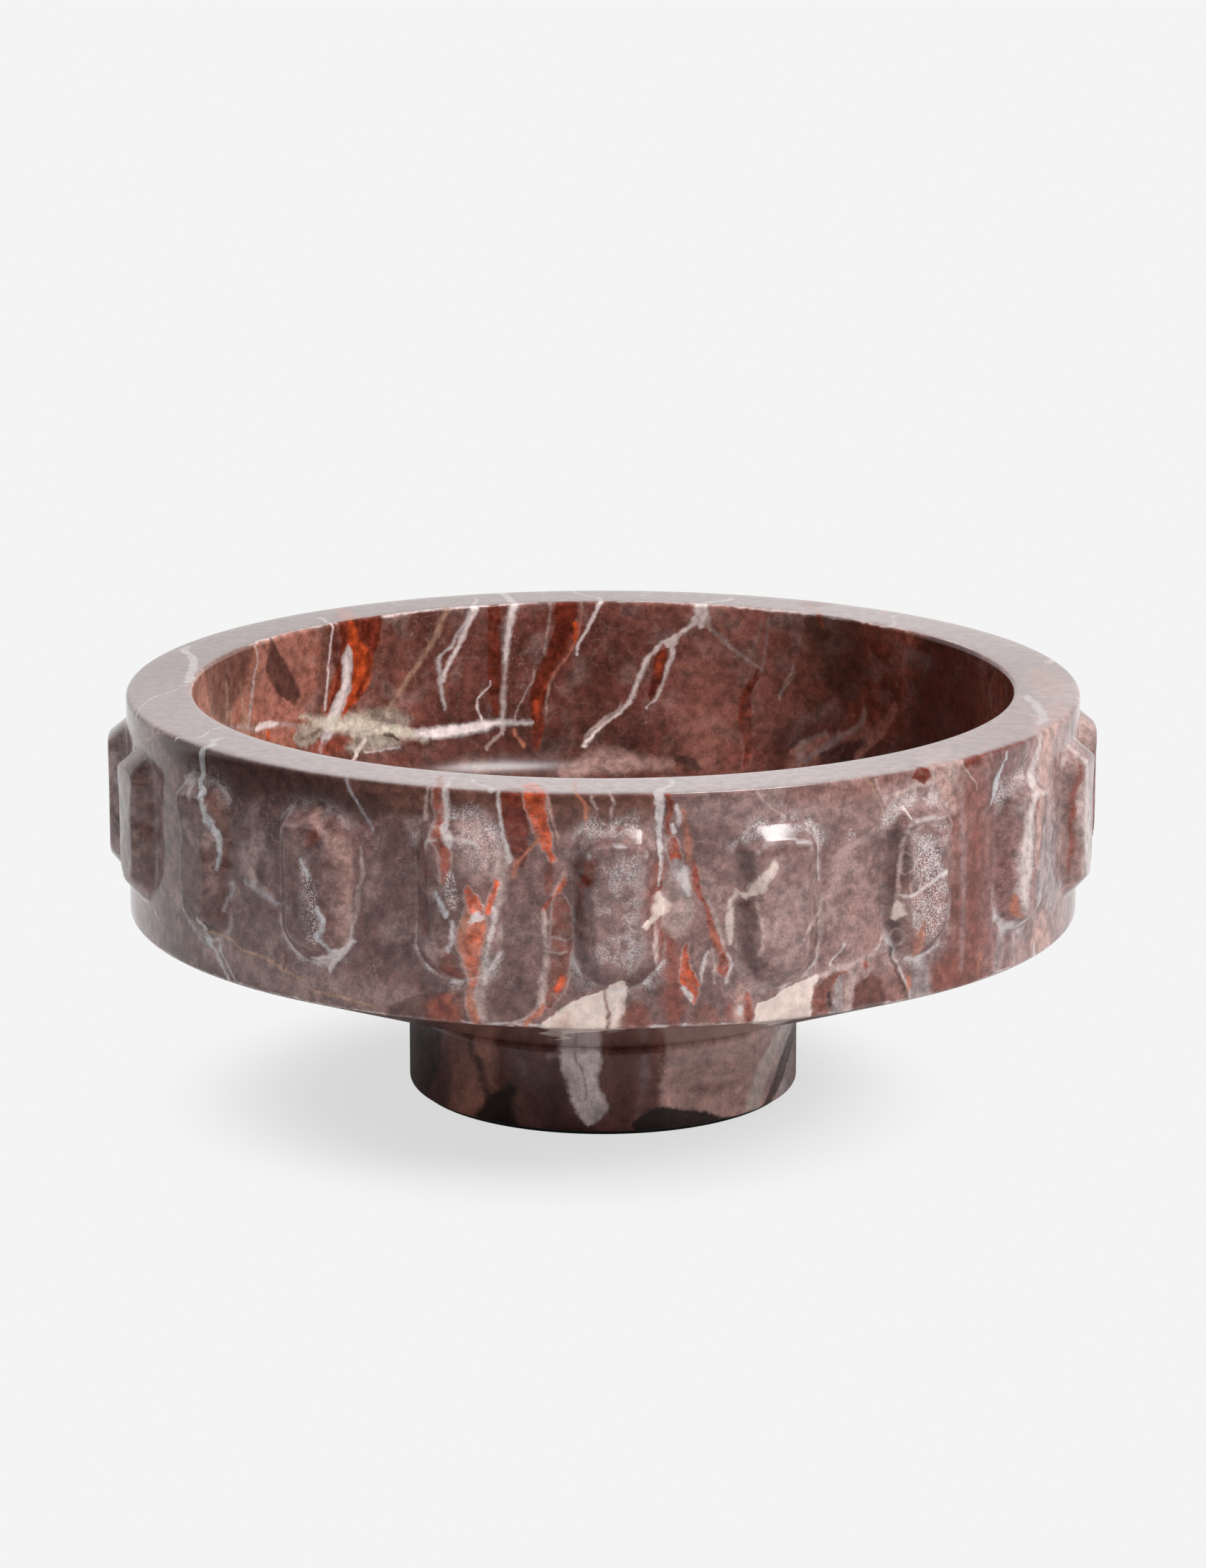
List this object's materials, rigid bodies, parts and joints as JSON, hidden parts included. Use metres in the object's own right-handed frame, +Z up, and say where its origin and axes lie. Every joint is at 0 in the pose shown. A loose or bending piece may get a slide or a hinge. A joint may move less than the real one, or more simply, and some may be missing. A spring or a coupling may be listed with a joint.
{
  "type": "pedestal bowl",
  "caption": "Heavy veined marble pedestal bowl with a straight wall, flat rim, ring of carved bevelled lugs, dished floor and plain drum foot on a felt pad.",
  "frame": {"origin": "on the surface that the bowl stands on, under the middle of the foot", "axes": "+Z up along the axis of the bowl, -Y towards the viewer of the picture, +X to the viewer's right"},
  "size_m": [0.3122, 0.3122, 0.1306],
  "materials": {
    "bowl_marble": "gloss",
    "foot_marble": "gloss",
    "adhesive": "matte",
    "steel": "satin",
    "felt": "matte"
  },
  "bodies": {
    "root": {"bowl": "bowl_marble", "foot": "foot_marble", "bond_line": "adhesive", "dowel": "steel", "base_pad": "felt"}
  },
  "joints": []
}
